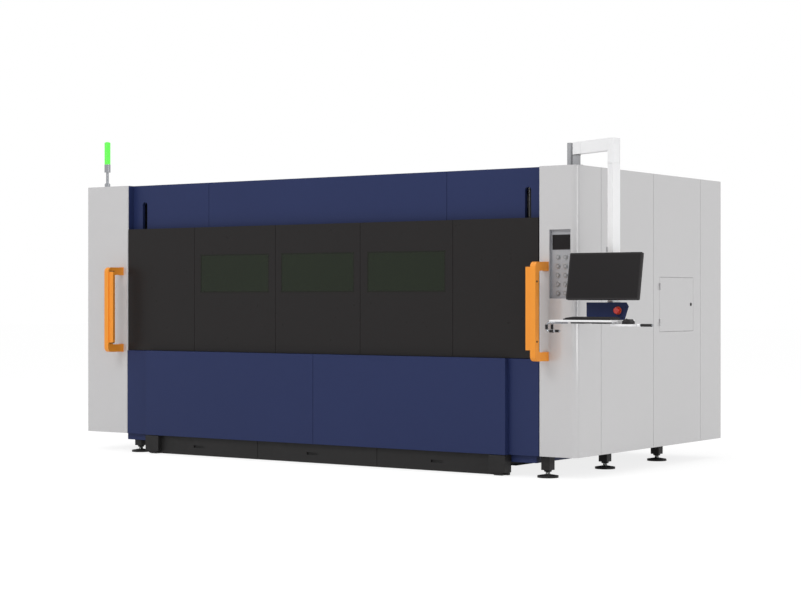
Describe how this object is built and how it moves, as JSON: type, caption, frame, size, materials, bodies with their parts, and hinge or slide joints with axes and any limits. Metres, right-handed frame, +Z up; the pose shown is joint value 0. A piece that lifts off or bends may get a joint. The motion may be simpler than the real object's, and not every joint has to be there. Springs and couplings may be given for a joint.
{
  "type": "fiber laser cutting machine",
  "caption": "Enclosed fibre laser cutter for 3 by 1.5 metre sheet: navy base, grey cabin, dark lifting door with windows, orange guards, slag drawers and a swinging console.",
  "frame": {"origin": "centre of the underside of the front right levelling foot", "axes": "+X to the right along the machine, +Y from the loading side to the rear, +Z up"},
  "size_m": [5.2831, 2.6099, 2.527],
  "materials": {
    "navy_paint": "powder coat, satin, fine grain",
    "grey_paint": "powder coat, light grey, satin",
    "dark_panel": "dark glossy skin of the door",
    "window_tint": "laser safety glazing, dark green",
    "orange_paint": "powder coat, orange",
    "white_paint": "powder coat, white, on the console boom",
    "black_plastic": "moulded, matt",
    "black_metal": "black enamel on the drawers and feet",
    "screen_glass": "switched off display",
    "green_lens": "translucent lamp lens",
    "red_plastic": "mushroom head of the emergency stop",
    "button_plastic": "push button caps",
    "steel": "ground and bright steel",
    "chrome": "chromed handle",
    "aluminium": "extruded, anodised",
    "zinc": "zinc plated sheet",
    "light_plastic": "light moulded plastic"
  },
  "bodies": {
    "root": {"apron_panel": "navy_paint", "bed_beams": "navy_paint", "boom_pivot": "white_paint", "cabin_frame": "grey_paint", "control_display": "black_plastic", "control_panel": "grey_paint", "door_jambs": "navy_paint", "door_lift_guides": "aluminium", "drawer_runners": "black_metal", "fascia_panels": "navy_paint", "hatch_panel": "grey_paint", "laser_source": "light_plastic", "left_pillar_cover": "grey_paint", "left_side_panels": "grey_paint", "levelling_feet": "black_metal", "light_curtain_brackets": "orange_paint", "light_curtains": "orange_paint", "lower_front_panels": "navy_paint", "rear_panels": "grey_paint", "right_pillar_cover": "grey_paint", "right_side_panels": "grey_paint", "roof_panels": "grey_paint", "signal_lamp_body": "chrome", "signal_lamp_lens": "green_lens", "sill_rail": "navy_paint", "table_frame": "steel", "table_slats": "steel", "x_rails": "steel"},
    "door": {"door_frame": "black_metal", "door_panels": "dark_panel", "door_windows": "window_tint", "door_lift_arms": "steel"},
    "drawer_left": {"slag_drawer_left": "black_metal"},
    "drawer_middle": {"slag_drawer_middle": "black_metal"},
    "drawer_right": {"slag_drawer_right": "black_metal"},
    "gantry_body": {"gantry": "navy_paint"},
    "carriage_body": {"carriage": "aluminium"},
    "head": {"cutting_head": "aluminium"},
    "hatch": {"side_hatch": "grey_paint"},
    "lock": {"hatch_lock": "chrome"},
    "boom": {"boom_arm": "white_paint"},
    "console": {"drop_tube": "white_paint", "control_box": "navy_paint", "keyboard_tray": "white_paint", "tray_handles": "chrome", "keyboard": "black_plastic", "mouse": "black_plastic"},
    "monitor_body": {"monitor": "black_plastic", "monitor_screen": "screen_glass"},
    "stop_button": {"emergency_stop": "red_plastic"},
    "button_1": {"push_button_1": "button_plastic"},
    "button_2": {"push_button_2": "button_plastic"},
    "button_3": {"push_button_3": "button_plastic"},
    "button_4": {"push_button_4": "button_plastic"},
    "button_5": {"push_button_5": "button_plastic"},
    "button_6": {"push_button_6": "button_plastic"},
    "button_7": {"push_button_7": "button_plastic"},
    "button_8": {"push_button_8": "button_plastic"},
    "button_9": {"push_button_9": "button_plastic"},
    "button_10": {"push_button_10": "button_plastic"}
  },
  "joints": [
    {"name": "door_lift", "type": "slide", "parent": "root", "child": "door", "axis": [0, 0, 1], "range_m": [0, 0.9]},
    {"name": "gantry_travel", "type": "slide", "parent": "root", "child": "gantry_body", "axis": [1, 0, 0], "range_m": [0, 3]},
    {"name": "carriage_travel", "type": "slide", "parent": "gantry_body", "child": "carriage_body", "axis": [0, 1, 0], "range_m": [0, 1.5]},
    {"name": "head_lift", "type": "slide", "parent": "carriage_body", "child": "head", "axis": [0, 0, 1], "range_m": [-0.12, 0]},
    {"name": "drawer_left_slide", "type": "slide", "parent": "root", "child": "drawer_left", "axis": [0, -1, 0], "range_m": [0, 1]},
    {"name": "drawer_middle_slide", "type": "slide", "parent": "root", "child": "drawer_middle", "axis": [0, -1, 0], "range_m": [0, 1]},
    {"name": "drawer_right_slide", "type": "slide", "parent": "root", "child": "drawer_right", "axis": [0, -1, 0], "range_m": [0, 1]},
    {"name": "hatch_hinge", "type": "hinge", "parent": "root", "child": "hatch", "pos_m": [0.277, 1.153, 1.194], "axis": [0, 0, -1], "range_deg": [0, 110]},
    {"name": "hatch_latch", "type": "hinge", "parent": "hatch", "child": "lock", "pos_m": [0.271, 1.667, 1.194], "axis": [1, 0, 0], "range_deg": [0, 90]},
    {"name": "boom_swing", "type": "hinge", "parent": "root", "child": "boom", "pos_m": [0.187, 0.071, 2.23], "axis": [0, 0, 1], "range_deg": [-20, 7]},
    {"name": "console_swivel", "type": "hinge", "parent": "boom", "child": "console", "pos_m": [0.58011, -0.11988, 2.143], "axis": [0, 0, 1], "range_deg": [0, 120]},
    {"name": "monitor_tilt", "type": "hinge", "parent": "console", "child": "monitor_body", "pos_m": [0.58011, -0.19188, 1.374], "axis": [1, 0, 0], "range_deg": [-10, 15]},
    {"name": "emergency_stop_press", "type": "slide", "parent": "console", "child": "stop_button", "axis": [0, 1, 0], "range_m": [0, 0.005], "stiffness_N_per_m": 1500},
    {"name": "button_1_press", "type": "slide", "parent": "root", "child": "button_1", "axis": [0, 1, 0], "range_m": [0, 0.004], "stiffness_N_per_m": 500},
    {"name": "button_2_press", "type": "slide", "parent": "root", "child": "button_2", "axis": [0, 1, 0], "range_m": [0, 0.004], "stiffness_N_per_m": 500},
    {"name": "button_3_press", "type": "slide", "parent": "root", "child": "button_3", "axis": [0, 1, 0], "range_m": [0, 0.004], "stiffness_N_per_m": 500},
    {"name": "button_4_press", "type": "slide", "parent": "root", "child": "button_4", "axis": [0, 1, 0], "range_m": [0, 0.004], "stiffness_N_per_m": 500},
    {"name": "button_5_press", "type": "slide", "parent": "root", "child": "button_5", "axis": [0, 1, 0], "range_m": [0, 0.004], "stiffness_N_per_m": 500},
    {"name": "button_6_press", "type": "slide", "parent": "root", "child": "button_6", "axis": [0, 1, 0], "range_m": [0, 0.004], "stiffness_N_per_m": 500},
    {"name": "button_7_press", "type": "slide", "parent": "root", "child": "button_7", "axis": [0, 1, 0], "range_m": [0, 0.004], "stiffness_N_per_m": 500},
    {"name": "button_8_press", "type": "slide", "parent": "root", "child": "button_8", "axis": [0, 1, 0], "range_m": [0, 0.004], "stiffness_N_per_m": 500},
    {"name": "button_9_press", "type": "slide", "parent": "root", "child": "button_9", "axis": [0, 1, 0], "range_m": [0, 0.004], "stiffness_N_per_m": 500},
    {"name": "button_10_press", "type": "slide", "parent": "root", "child": "button_10", "axis": [0, 1, 0], "range_m": [0, 0.004], "stiffness_N_per_m": 500}
  ]
}
